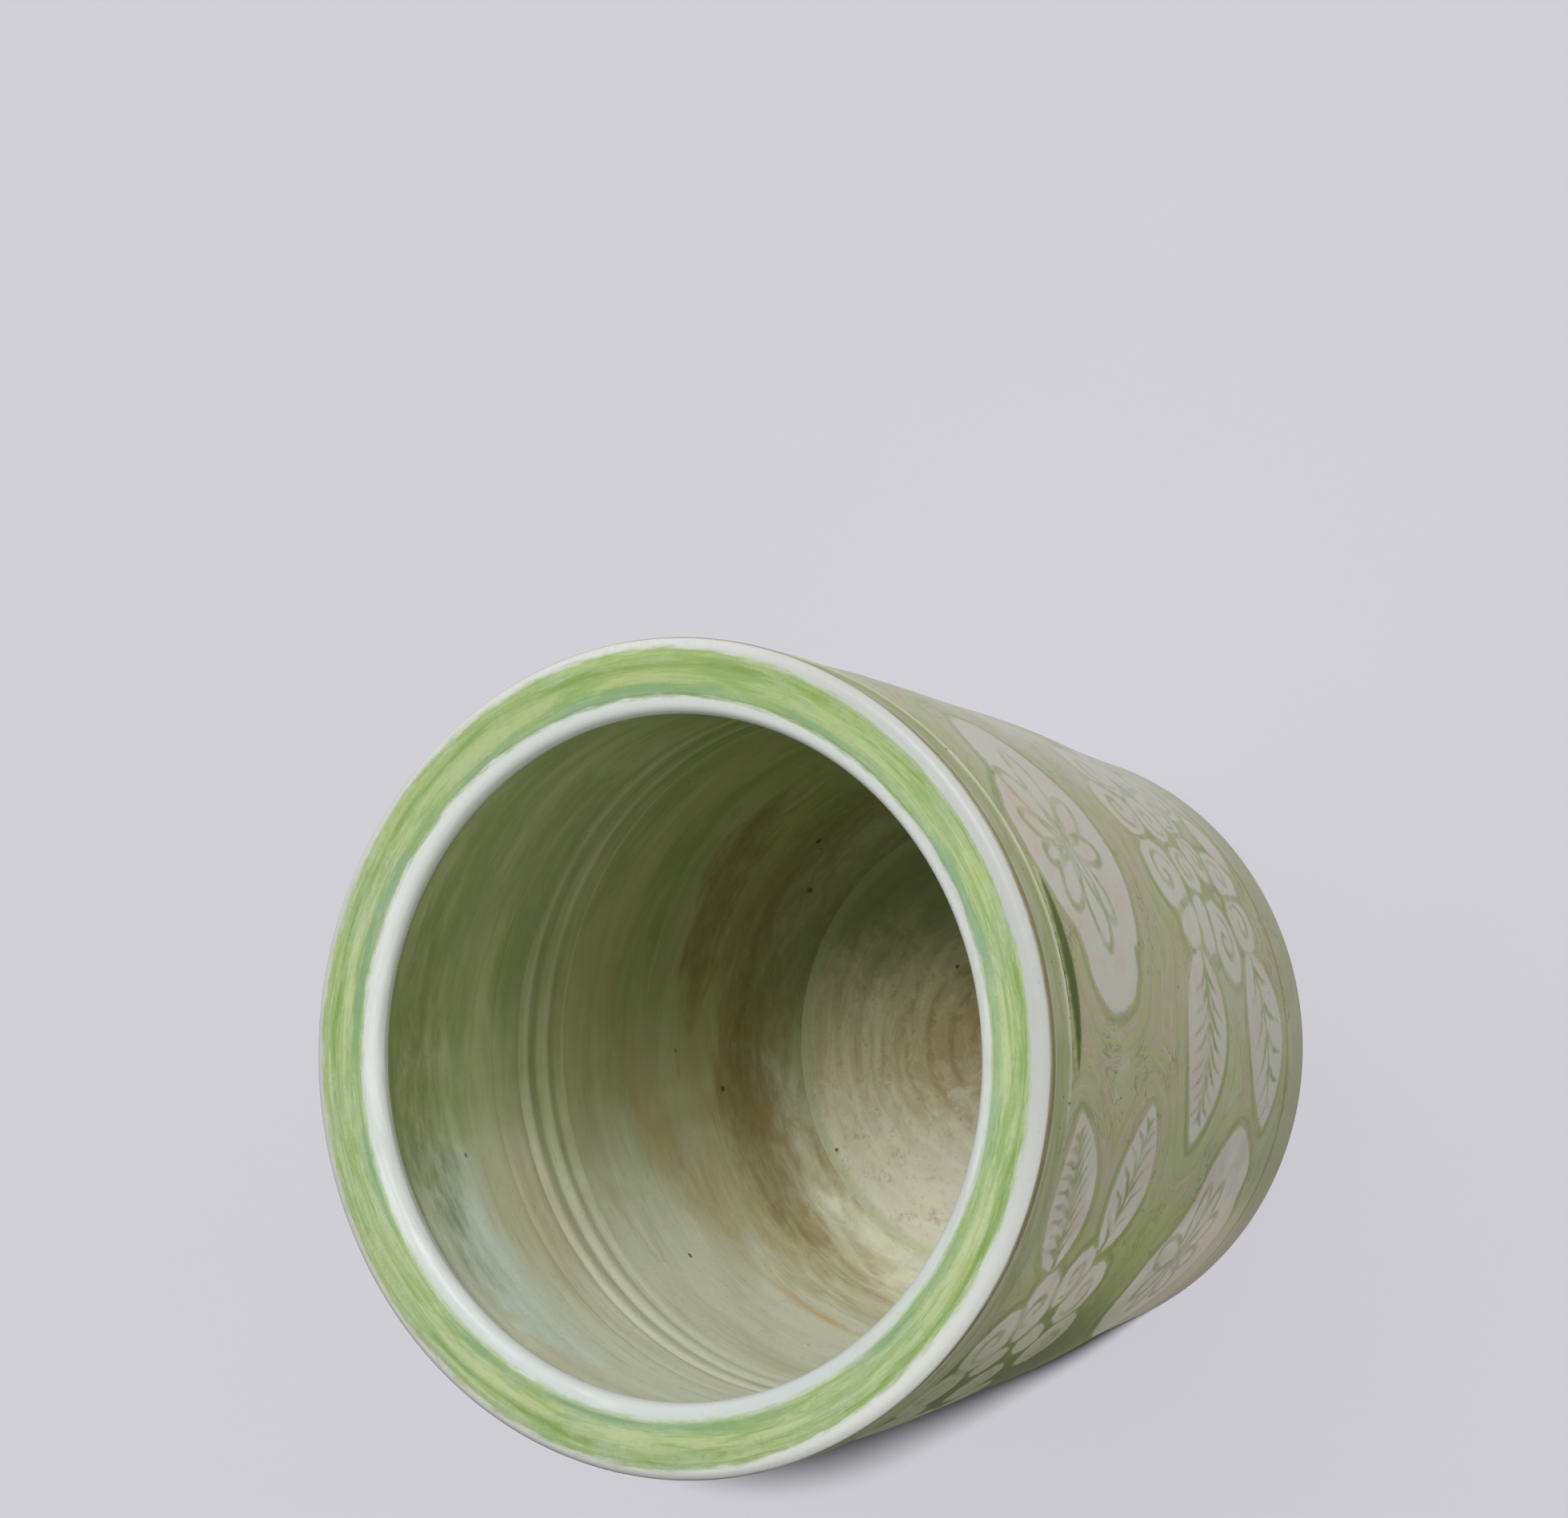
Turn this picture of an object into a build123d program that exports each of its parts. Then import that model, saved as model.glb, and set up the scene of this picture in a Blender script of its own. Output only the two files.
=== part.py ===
"""Porcelain brush holder pot: a thrown, tapering pot with a thick flat lip and an enamelled wall.

Millimetres, +Z up out of the mouth, origin at the centre of the foot's underside, -Y the front.
The body is clay pieces joined while wet (foot ring, floor, wall, lip, collar), and the glaze and
enamel coats fired on them. The green enamel of the wall leaves gaps, which colourless enamel
panels fill: leaves, blossoms and scroll-edged peonies.
"""

from build123d import *

import math
import os

# Driving sizes
height = 125.0
lip_radius = 61.0
glaze = 0.4  # thickness of the glaze on the wall, floor and underside
slip = 0.3  # thickness of the white slip and the enamel on the lip and collar

# Foot and floor
foot_height = 5.0
foot_inner_radius = 42.5
foot_edge = 0.8  # bevel of the standing edge
bare_foot = 1.6  # height of unglazed clay above the standing edge
floor_radius = 38.5  # flat part of the floor inside
floor_top = 10.5  # clay surface of the floor
cove_radius = 8.0  # glazed cove between the floor and the wall

# Glazed surface of the wall as (radius, height), from the foot to the collar, and inside
outer_wall = [(49.2, foot_height), (51.5, 25), (54.2, 45), (56.1, 65), (58.0, 85), (59.15, 100), (59.9, 115)]
bare_edge_radius = 48.85
wall_top = outer_wall[-1][1]
inner_wall = [(46.5, 18.9), (50.6, 45), (52.9, 79), (53.2, 100), (52.6, wall_top)]
lip_hollow = [(52.6, wall_top), (51.5, 118.5), (50.2, 121.2)]  # the lip's hollowed underside

# Lip and collar surfaces as (radius, height)
band_inner_radius = 52.9
band_outer_radius = 58.4
inner_roll = [(50.2, 121.2), (49.9, 122.8), (50.7, 124.2), (band_inner_radius, height)]
outer_roll = [(band_outer_radius, height), (60.1, 124.6), (lip_radius, 123.6), (60.3, 122.7)]
collar_core_radius = 58.5
collar_top = 122.7
bead_bottom = 121.7
ridge_top = 116.6
bead_crest = (60.7, 122.2)
bead_foot = (60.35, bead_bottom)
ridge_head = (60.15, ridge_top)
ridge_crest = (60.5, 115.9)

# Enamel panels: centres as (degrees round from the front, height). The pattern repeats once.
blossoms = [(30, 95, 26, 17.5), (-38, 37.5, 22, 17.5)]  # then half width and half height
peonies = [(-54.5, 94, 21), (35, 37.5, 22)]  # then radius
leaves = [(-21, 106.5, 27, 15, 13), (-20.5, 82.5, 23, 15.5, -12), (-1.5, 55.5, 34, 19, -4)]
leaves += [(-1, 22.5, 29, 20, 8), (80, 102, 24, 13, 40), (82, 70, 26, 14, -35), (84, 30, 27, 15, 30)]
# leaves: then length, width and the turn of the midrib in degrees
pattern_turns = [0, 180]
blossom_lobes = 6
peony_lobes = 11
lobe_depth = 0.13  # how far the notch between two petals cuts in, as a share of the radius
scroll_depth = 0.2
pool_place = (10, 112.8, 28, 3.6, 0)  # thick run of dark glaze under the collar ridge
front = -90.0  # direction of the front, in degrees from +X
tool_distance = 75.0  # panel outlines are drawn this far from the axis, then cut inwards
tool_depth = 45.0


def inset(points, depth):
    return [(r - depth, z) for r, z in points]


def outset(points, depth):
    return [(r + depth, z) for r, z in points]


def curve(points):
    return Spline(*[(r, 0, z) for r, z in points])


def lines(*points):
    return Polyline(*[(r, 0, z) for r, z in points])


def arc(start, middle, end):
    return ThreePointArc(*[(r, 0, z) for r, z in (start, middle, end)])


def turned(*edges):
    """The solid that a closed section makes when it is turned about the pot's axis."""
    return revolve(make_face(list(edges)), Axis.Z, 360)


def save(name, shape):
    export_step(shape, "parts/" + name + ".step")


# Clay surfaces: the glazed ones less the coat that lies on them
outer_clay = inset(outer_wall, glaze)
inner_clay = outset(inner_wall, glaze)
lip_hollow_clay = outset(lip_hollow, glaze)
inner_roll_clay = [(50.6, 121.2), (50.2, 122.75), (50.95, 123.95), (band_inner_radius, height - slip)]
outer_roll_clay = [(band_outer_radius, height - slip), (59.95, 124.32), (60.68, 123.6), (60.0, collar_top)]
bare_clay_radius = bare_edge_radius - glaze
cove_top = inner_wall[0][1]
floor_glazed = floor_top + glaze
cove_middle = math.radians(45)


def cove(radius):
    """Quarter circle from the floor up to the wall, about the cove's own centre."""
    return arc(
        (floor_radius, cove_top - radius),
        (floor_radius + radius * math.sin(cove_middle), cove_top - radius * math.cos(cove_middle)),
        (floor_radius + radius, cove_top),
    )


def foot_ring():
    return turned(
        lines(
            (foot_inner_radius, foot_height),
            (foot_inner_radius, foot_edge),
            (foot_inner_radius + foot_edge, 0),
            (bare_clay_radius - foot_edge, 0),
            (bare_clay_radius, bare_foot),
            outer_clay[0],
            (foot_inner_radius, foot_height),
        )
    )


def floor_disc():
    return Pos(0, 0, foot_height) * extrude(Circle(floor_radius), floor_top - foot_height)


def pot_wall():
    return turned(
        lines((floor_radius, floor_top), (floor_radius, foot_height), outer_clay[0]),
        curve(outer_clay),
        lines(outer_clay[-1], inner_clay[-1]),
        curve(inner_clay),
        cove(cove_radius + glaze),
    )


def lip_ring():
    return turned(
        lines(inner_clay[-1], (collar_core_radius, wall_top), (collar_core_radius, collar_top), outer_roll_clay[-1]),
        curve(outer_roll_clay),
        lines(outer_roll_clay[0], inner_roll_clay[-1]),
        curve(inner_roll_clay),
        curve(lip_hollow_clay),
    )


def collar_surface(depth, foot):
    """Bead, plain band and ridge of the collar, set in by depth and ending at foot."""
    top, crest, under, head, swell = inset(
        [(60.3, collar_top), bead_crest, bead_foot, ridge_head, ridge_crest], depth
    )
    return [arc(top, crest, under), lines(under, head), arc(head, swell, foot)], top


def collar_band():
    edges, top = collar_surface(slip, outer_clay[-1])
    return turned(
        *edges, lines(outer_clay[-1], (collar_core_radius, wall_top), (collar_core_radius, collar_top), top)
    )


def collar_glaze():
    edges, top = collar_surface(0, outer_wall[-1])
    backs, back_top = collar_surface(slip, outer_clay[-1])
    return turned(*edges, lines(top, back_top), *backs, lines(outer_clay[-1], outer_wall[-1]))


def lip_inner_slip():
    return turned(
        curve(inner_roll),
        lines(inner_roll[-1], inner_roll_clay[-1]),
        curve(inner_roll_clay),
        lines(inner_roll_clay[0], inner_roll[0]),
    )


def lip_outer_slip():
    return turned(
        curve(outer_roll),
        lines(outer_roll[-1], outer_roll_clay[-1]),
        curve(outer_roll_clay),
        lines(outer_roll_clay[0], outer_roll[0]),
    )


def lip_green_enamel():
    ring = Circle(band_outer_radius) - Circle(band_inner_radius)
    return Pos(0, 0, height - slip) * extrude(ring, slip)


def inner_glaze():
    return turned(
        cove(cove_radius),
        curve(inner_wall),
        curve(lip_hollow),
        lines(lip_hollow[-1], lip_hollow_clay[-1]),
        curve(lip_hollow_clay),
        curve(inner_clay),
        cove(cove_radius + glaze),
        lines((floor_radius, floor_top), (floor_radius, floor_glazed)),
    )


def floor_glaze():
    return Pos(0, 0, floor_top) * extrude(Circle(floor_radius), glaze)


def underside_glaze():
    return Pos(0, 0, foot_height - glaze) * extrude(Circle(foot_inner_radius), glaze)


def wall_coat():
    """The whole enamel coat of the outer wall, before its panels are cut apart."""
    return turned(
        lines((bare_clay_radius, bare_foot), (bare_edge_radius, bare_foot), outer_wall[0]),
        curve(outer_wall),
        lines(outer_wall[-1], outer_clay[-1]),
        curve(outer_clay),
        lines(outer_clay[0], (bare_clay_radius, bare_foot)),
    )


def leaf_outline(length, width, turn):
    """Pointed oval of two arcs, fuller on its upper side."""
    tips = (-length / 2, 0), (length / 2, 0)
    upper = ThreePointArc(tips[0], (0, width * 0.54), tips[1])
    lower = ThreePointArc(tips[1], (0, -width * 0.46), tips[0])
    return Rot(0, 0, turn) * make_face([upper, lower])


def lobed_outline(half_width, half_height, lobes, depth):
    """Ring of round lobes: notches on a smaller oval, joined by arcs that reach the full one."""

    def place(step, share):
        angle = 2 * math.pi * step / lobes
        return half_width * share * math.cos(angle), half_height * share * math.sin(angle)

    petals = []
    for lobe in range(lobes):
        start = place(lobe - 0.5, 1 - depth)
        end = place(lobe + 0.5, 1 - depth)
        petals.append(ThreePointArc(start, place(lobe, 1), end))
    return make_face(petals)


def cutter(outline, degrees, middle_height):
    """Prism that cuts an outline through the coat at its place on the wall."""
    angle = math.radians(front + degrees)
    outward = Vector(math.cos(angle), math.sin(angle), 0)
    across = Vector(-math.sin(angle), math.cos(angle), 0)
    centre = outward * tool_distance + Vector(0, 0, middle_height)
    plane = Plane(origin=centre, x_dir=across, z_dir=outward)
    return extrude(plane * outline, -tool_depth)


def leaf_cutters(turn):
    return [cutter(leaf_outline(long, wide, tilt), at + turn, z) for at, z, long, wide, tilt in leaves]


def blossom_cutters(turn):
    shapes = []
    for at, z, half_width, half_height in blossoms:
        shapes.append(cutter(lobed_outline(half_width, half_height, blossom_lobes, lobe_depth), at + turn, z))
    return shapes


def peony_cutters(turn):
    shapes = []
    for at, z, radius in peonies:
        shapes.append(cutter(lobed_outline(radius, radius, peony_lobes, scroll_depth), at + turn, z))
    return shapes


def pool_cutters(turn):
    """The single run of glaze is not part of the repeat."""
    at, z, long, wide, tilt = pool_place
    return [cutter(leaf_outline(long, wide, tilt), at, z)] if turn == 0 else []


def main():
    os.makedirs("parts", exist_ok=True)
    coat = wall_coat()
    groups = {
        "leaf_panels": leaf_cutters,
        "blossom_panels": blossom_cutters,
        "peony_panels": peony_cutters,
        "pooled_glaze": pool_cutters,
    }
    ground = coat
    for name, cutters in groups.items():
        panels = []
        for turn in pattern_turns:
            for tool in cutters(turn):
                panels += (coat & tool).solids()
                ground = ground - tool
        save(name, Compound(panels))
    save("green_wall_enamel", ground)

    pieces = {
        "foot_ring": foot_ring,
        "floor_disc": floor_disc,
        "pot_wall": pot_wall,
        "lip_ring": lip_ring,
        "collar_band": collar_band,
        "collar_glaze": collar_glaze,
        "lip_inner_slip": lip_inner_slip,
        "lip_outer_slip": lip_outer_slip,
        "lip_green_enamel": lip_green_enamel,
        "inner_glaze": inner_glaze,
        "floor_glaze": floor_glaze,
        "underside_glaze": underside_glaze,
    }
    for name, make in pieces.items():
        save(name, make())


main()
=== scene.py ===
"""Looks of the brush holder pot: glazed wall, reserved panels, streaky lip and celadon inside."""

import math

import bpy
import numpy as np
from mathutils import Matrix, Vector


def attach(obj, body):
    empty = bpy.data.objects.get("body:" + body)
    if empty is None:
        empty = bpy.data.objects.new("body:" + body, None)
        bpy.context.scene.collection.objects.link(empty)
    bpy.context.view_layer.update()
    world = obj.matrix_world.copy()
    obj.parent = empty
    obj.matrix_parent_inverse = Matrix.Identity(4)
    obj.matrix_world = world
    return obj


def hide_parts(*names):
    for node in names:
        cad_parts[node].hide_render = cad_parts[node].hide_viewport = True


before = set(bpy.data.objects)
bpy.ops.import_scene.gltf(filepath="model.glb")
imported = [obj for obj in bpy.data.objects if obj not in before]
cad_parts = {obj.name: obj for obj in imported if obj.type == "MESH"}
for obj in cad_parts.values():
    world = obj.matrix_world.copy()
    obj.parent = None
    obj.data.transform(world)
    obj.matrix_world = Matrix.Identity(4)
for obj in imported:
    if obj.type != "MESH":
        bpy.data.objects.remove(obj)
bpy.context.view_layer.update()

MM = 0.001

# -------------------------------- sizes, in millimetres
HEIGHT = 125.0
WALL_TOP = 115.0
BARE_FOOT = 1.6
GLAZE = 0.4
SLIP = 0.3
ROUND = 480  # points round the pot

# Glazed surfaces as (radius, height), the same few points as the CAD model
OUTER_WALL = [(49.2, 5), (51.5, 25), (54.2, 45), (56.1, 65), (58.0, 85), (59.15, 100), (59.9, WALL_TOP)]
FOOT_EDGE = (48.85, BARE_FOOT)
FOOT_SECTION = [
    (42.5, 4.9), (42.5, 0.9), (42.75, 0.25), (43.3, 0.0), (47.65, 0.0), (48.1, 0.2), (48.4, 0.7),
    (48.45, BARE_FOOT), (48.75, 4.9),
]
INNER_WALL = [(46.5, 18.9), (50.6, 45), (52.9, 79), (53.2, 100), (52.6, WALL_TOP), (51.5, 118.5), (50.2, 121.2)]
COVE_CENTRE = (38.5, 18.9)
COVE_RADIUS = 8.0
FLOOR_RADIUS = 38.5
FLOOR_HEIGHT = 10.9
INNER_ROLL = [(50.2, 121.2), (49.9, 122.8), (50.7, 124.2), (52.9, HEIGHT)]
OUTER_ROLL = [(58.4, HEIGHT), (60.1, 124.6), (61.0, 123.6), (60.3, 122.7)]
COLLAR = [(60.3, 122.7), (60.7, 122.2), (60.35, 121.7), (60.5, 121.2), (60.15, 116.6), (60.5, 115.9), (59.9, WALL_TOP)]

# Painted reserves: degrees round from the front and height of the middle, then the drawing's own numbers
# Leaves: length, width, turn of the stem-to-tip direction, veins on each side
LEAVES = [
    (-21.5, 106.5, 26, 15, 17, 9), (-21, 82.3, 23.5, 16, -12, 6), (-1.5, 55.5, 31, 18.5, 166, 9),
    (-1, 22.8, 29, 19, 190, 5), (80, 102, 24, 13, 40, 7), (82, 70, 26, 14, -35, 7), (84, 30, 27, 15, 30, 7),
]

# Blossoms: outline, middle of the flower, and petals as (direction, length, width), all in millimetres
UPPER_OUTLINE = [
    (-27, 0), (-26, 5), (-22, 8.8), (-15, 10.3), (-11.5, 13.7), (-6, 16.2), (-1, 17), (4, 16),
    (9, 12.3), (12.5, 8.8), (18.5, 7), (25, 2), (26, -5), (22, -10), (10.5, -16), (3, -17.8),
    (-4, -18), (-11.5, -15.5), (-16.4, -13), (-17, -11.2), (-21, -10), (-25, -6.5),
]
UPPER_PETALS = [
    (183, 16, 6.2), (140, 12.5, 6.2), (104, 10, 3.8), (68, 11.5, 5), (27, 14.5, 6.4),
    (-12, 18.5, 6), (-52, 13, 5.8), (-94, 11, 5), (-152, 13, 4.6),
]
LOWER_OUTLINE = [
    (-9, 18), (0, 17.3), (4.8, 13), (9, 9.8), (15.3, 7), (19, 2), (20.8, -3.5), (19, -9), (13, -15.8),
    (7.5, -16.7), (2, -18.5), (-9, -15.7), (-17, -10.5), (-20.5, -3.5), (-19.5, 5), (-15, 13),
]
LOWER_PETALS = [
    (72, 12.5, 6), (12, 13.5, 5), (-22, 13.5, 5.2), (-58, 12, 5), (-98, 11, 5), (-135, 12, 5.4),
    (172, 10, 5), (125, 10, 5),
]
BLOSSOMS = [(30, 95, UPPER_OUTLINE, (-1, 0.5), UPPER_PETALS), (-38, 37.5, LOWER_OUTLINE, (-2, 1.5), LOWER_PETALS)]

# Peonies: scrolled lobes as (across, up, half length, half width, turn)
UPPER_LOBES = [
    (-2.6, 14.3, 6.2, 5.6, 0), (8.8, 12, 6.8, 6.1, -30), (14.5, 4.6, 7.6, 4.9, 35), (19, -3.8, 5.6, 4.9, -40),
    (14.8, -12.6, 5.8, 6.6, 15), (4, -16.5, 6.2, 6.6, 0), (-12.5, 10, 6, 5.6, 30), (-16.5, -0.5, 5.8, 6.2, 0),
    (-11.5, -11.5, 6, 6.2, 0), (3.6, 4.8, 3, 4.2, 20), (6.8, -4.4, 3.2, 4.8, -20), (-3.6, -2.5, 5, 6, 10),
]
LOWER_LOBES = [
    (-7.2, 17, 6.2, 6.9, 15), (4.9, 18.3, 5.7, 6.2, 0), (-15.2, 15, 3.6, 5, 40), (-17.5, -0.6, 6.9, 5.9, 10),
    (-15.2, 7.8, 5.2, 3.3, -20), (-5.6, 4.6, 4.2, 4.6, 0), (-14, -13.4, 5, 5.8, 25), (-5, -13.8, 4.6, 6.6, 0),
    (2.5, -20.6, 6.2, 3.6, 10), (14, 12.8, 6.2, 6.4, 0), (17, 0, 5.8, 6.2, 0), (12.5, -12.4, 6, 6.2, 0),
    (3.8, 6.8, 4.6, 5.2, 0), (7, -3.6, 5.2, 5.6, 0), (-2.6, -4.8, 4.6, 4.6, 0),
]
PEONIES = [(-54.5, 94, UPPER_LOBES), (35, 37.5, LOWER_LOBES)]
POOL = (10, 112.95, 30, 3.9)  # thick glaze: degrees round, height of the middle, length, width
BACK = 180  # the same drawing comes again on the far side

UNINKED = -5.0  # depth inside the strokes that stands for far from any of them
ROOT_DEPTH = 1.0  # how far the closed back of a patch reaches into the wall
TUCK = 0.03  # a patch's rim lies this far under the wall's surface, and its strokes stand up by as much
OUTLINE_REACH = 14.0  # the ground knows a reserve that is this near

# -------------------------------- mesh building
def smooth_curve(points, steps):
    """Catmull-Rom curve through the points, with that many steps between each two."""
    p = np.array(points, float)
    p = np.vstack([2 * p[0] - p[1], p, 2 * p[-1] - p[-2]])
    out = []
    for a, b, c, d in zip(p, p[1:], p[2:], p[3:]):
        for t in np.linspace(0, 1, steps, endpoint=False):
            square, cube = 2 * a - 5 * b + 4 * c - d, 3 * b - a - 3 * c + d
            out.append(0.5 * (2 * b + (c - a) * t + square * t**2 + cube * t**3))
    out.append(p[-2])
    return np.array(out)


def radius_at(points, z):
    """Radius of a profile at height z."""
    line = smooth_curve(points, 12)
    order = np.argsort(line[:, 1])
    return np.interp(z, line[order, 1], line[order, 0])


def even(line, spacing):
    """The line again, with points about that far apart."""
    length = np.concatenate([[0], np.cumsum(np.hypot(*np.diff(line, axis=0).T))])
    count = max(2, int(round(length[-1] / spacing)) + 1)
    at = np.linspace(0, length[-1], count)
    return np.stack([np.interp(at, length, line[:, 0]), np.interp(at, length, line[:, 1])], 1)


def add_mesh(name, verts, faces):
    """Object of that mesh, shaded smooth except at real edges."""
    mesh = bpy.data.meshes.new(name)
    mesh.from_pydata([tuple(v) for v in verts], [], faces)
    mesh.validate()
    mesh.shade_smooth()
    mesh.set_sharp_from_angle(angle=math.radians(40))
    piece = bpy.data.objects.new(name, mesh)
    bpy.context.scene.collection.objects.link(piece)
    return piece


def turned(name, section, shift=None, front=0):
    """Closed solid turned from a closed section of (radius, height) points.

    shift(angle, height) says how far the first `front` points move outwards."""
    section = np.array(section, float)
    count = len(section)
    angle = np.arange(ROUND) * 2 * math.pi / ROUND
    a, r = np.meshgrid(angle, section[:, 0], indexing="ij")
    z = np.broadcast_to(section[:, 1], a.shape)
    if shift is not None:
        r[:, :front] += shift(a[:, :front], z[:, :front])
    verts = np.stack([r * np.cos(a), r * np.sin(a), z], -1).reshape(-1, 3) * MM
    i, j = np.meshgrid(np.arange(ROUND), np.arange(count), indexing="ij")
    i2, j2 = (i + 1) % ROUND, (j + 1) % count
    faces = np.stack([i * count + j, i2 * count + j, i2 * count + j2, i * count + j2], -1).reshape(-1, 4)
    return add_mesh(name, verts, faces.tolist())


def disc(name, radius, low, high, ripple):
    """Closed disc whose top surface is rippled: rings of points out from the middle."""
    rings = np.linspace(0.4, radius, int(radius / 0.35))
    angle = np.arange(ROUND // 2) * 4 * math.pi / ROUND
    n = len(angle)
    verts = []
    for r in rings:
        rise = ripple(angle, np.full(n, r))
        verts += list(zip(r * np.cos(angle), r * np.sin(angle), high + rise))
    verts += list(zip(radius * np.cos(angle), radius * np.sin(angle), np.full(n, low)))
    faces = []
    for k in range(len(rings)):
        for i in range(n):
            j = (i + 1) % n
            faces.append([k * n + i, (k + 1) * n + i, (k + 1) * n + j, k * n + j])
    faces.append(list(range(n)))
    faces.append([len(rings) * n + i for i in reversed(range(n))])
    return add_mesh(name, np.array(verts) * MM, faces)


def waves(seed, count, top_turns, top_rise):
    """Smooth seamless unevenness from a few random waves round and up the pot."""
    rng = np.random.default_rng(seed)
    turns = rng.integers(0, top_turns + 1, count)
    rises = rng.uniform(-top_rise, top_rise, count)
    phases = rng.uniform(0, 2 * math.pi, count)

    def height(angle, z):
        total = np.zeros(np.shape(angle))
        for t, k, p in zip(turns, rises, phases):
            total = total + np.sin(t * angle + k * z + p)
        return total / math.sqrt(count)

    return height


# -------------------------------- painted drawing, as distances in millimetres
def closed_curve(points):
    """Smooth loop through the points."""
    p, steps = np.array(points, float), 7
    return smooth_curve(np.vstack([p[-2:], p, p[:2]]), steps)[2 * steps : (len(p) + 2) * steps]


def to_segment(x, y, a, b):
    """Distance from points to the segment a-b, and the share of the way along it."""
    dx, dy = b[0] - a[0], b[1] - a[1]
    t = np.clip(((x - a[0]) * dx + (y - a[1]) * dy) / max(dx * dx + dy * dy, 1e-9), 0, 1)
    return np.hypot(x - a[0] - t * dx, y - a[1] - t * dy), t


def inside_loop(x, y, loop):
    """Distance to a closed loop, positive inside."""
    best, odd = np.full(x.shape, 1e3), np.zeros(x.shape, bool)
    for a, b in zip(loop, np.roll(loop, -1, axis=0)):
        best = np.minimum(best, to_segment(x, y, a, b)[0])
        if a[1] != b[1]:
            odd ^= ((a[1] > y) != (b[1] > y)) & (x < (b[0] - a[0]) * (y - a[1]) / (b[1] - a[1]) + a[0])
    return np.where(odd, best, -best)


def inside_strokes(x, y, strokes):
    """Depth inside brush strokes, each a row of (across, up, half width) points."""
    best = np.full(x.shape, UNINKED)
    for stroke in strokes:
        for a, b in zip(stroke, stroke[1:]):
            away, t = to_segment(x, y, a, b)
            best = np.maximum(best, a[2] + (b[2] - a[2]) * t - away)
    return best


def turned_by(x, y, degrees):
    c, s = math.cos(math.radians(degrees)), math.sin(math.radians(degrees))
    return x * c - y * s, x * s + y * c


def leaf_half_width(share, width):
    return width / 2 * np.sin(math.pi * np.clip(share, 0, 1) ** 0.85) ** 0.72


def leaf(length, width, turn, veins):
    """Pointed oval with a midrib and wedge-shaped veins slanting towards the tip."""
    share = (1 - np.cos(np.linspace(0, math.pi, 20))) / 2
    side = leaf_half_width(share, width)
    left, right = [np.stack([(share - 0.5) * length, across], 1) for across in (side, -side)]
    loop = np.vstack([left, right[-2:0:-1]])
    strokes = [[((t - 0.5) * length, 0.6 * math.sin(math.pi * t), 0.75 - 0.5 * t) for t in np.linspace(0.02, 0.88, 9)]]
    for t in np.linspace(0.10, 0.84, veins):
        base = ((t - 0.5) * length, 0.6 * math.sin(math.pi * t))
        reach = leaf_half_width(t + 0.08, width) * 0.78
        for slope, hand, thick in ((0.62, 1, 0.80), (0.95, -1, 0.58)):
            tip = (base[0] + slope * reach, base[1] + hand * reach)
            bend = ((base[0] + tip[0]) / 2 + 0.12 * reach, (base[1] + tip[1]) / 2 - hand * 0.08 * reach)
            strokes.append([(*base, thick), (*bend, thick * 0.75), (*tip, 0.08)])

    def draw(x, y):
        x, y = turned_by(x, y, -turn)
        return inside_loop(x, y, loop), inside_strokes(x, y, strokes)

    return draw, length / 2 + 1, length / 2 + 1


def blossom(outline, middle, petals):
    """Lobed panel with a flower of outlined teardrop petals."""
    loop = closed_curve(outline)
    strokes = []
    for direction, length, width in petals:
        around = np.linspace(0.12, 2 * math.pi - 0.12, 22)
        along = length * (1 - np.cos(around)) / 2 + 0.6
        across = width / 2 * np.sin(around) * (0.75 + 0.35 * along / length)
        x, y = turned_by(along, across, direction)
        strokes.append([(middle[0] + u, middle[1] + v, 0.40 + 0.42 * w / length) for u, v, w in zip(x, y, along)])
    around = np.linspace(0, 2 * math.pi, 12)
    strokes.append([(middle[0] + 1.7 * math.cos(t), middle[1] + 1.5 * math.sin(t), 0.28) for t in around])

    def draw(x, y):
        return inside_loop(x, y, loop), inside_strokes(x, y, strokes)

    return draw, max(abs(p[0]) for p in outline) + 1, max(abs(p[1]) for p in outline) + 1


def peony(lobes):
    """Cluster of rounded lobes, each with a scrolled stroke that opens towards the flower's middle."""
    strokes = []
    for number, (x, y, half_long, half_wide, turn) in enumerate(lobes):
        hand = 1 if x * y + 0.1 * number > 0 else -1
        end = math.atan2(-y, -x)
        size = min(half_long, half_wide)
        stroke = []
        for t in np.linspace(0, 1, 20):
            angle = end - hand * (1 - t) * 7.2
            reach = size * (0.10 + 0.66 * t**1.15)
            width = 0.34 + 0.42 * math.sin(math.pi * min(1, t * 1.05))
            stroke.append((x + reach * math.cos(angle), y + reach * math.sin(angle), width))
        if size > 4:
            strokes.append(stroke)

    def draw(x, y):
        depths = []
        for lobe_x, lobe_y, half_long, half_wide, turn in lobes:
            u, v = turned_by(x - lobe_x, y - lobe_y, -turn)
            around = np.arctan2(v, u)
            scallop = 0.22 * np.cos(around * 5 + lobe_x) ** 2
            depths.append((1 - np.hypot(u / half_long, v / half_wide)) * min(half_long, half_wide) + scallop)
        first, second = np.sort(depths, axis=0)[[-1, -2]]
        seam = np.where(second > -0.9, 0.7 - (first - second) * 0.5, UNINKED)
        return first, np.maximum(inside_strokes(x, y, strokes), np.minimum(seam, 0.8))

    reach = max(math.hypot(lobe[0], lobe[1]) + lobe[2] for lobe in lobes)
    return draw, reach + 1, reach + 1


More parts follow.
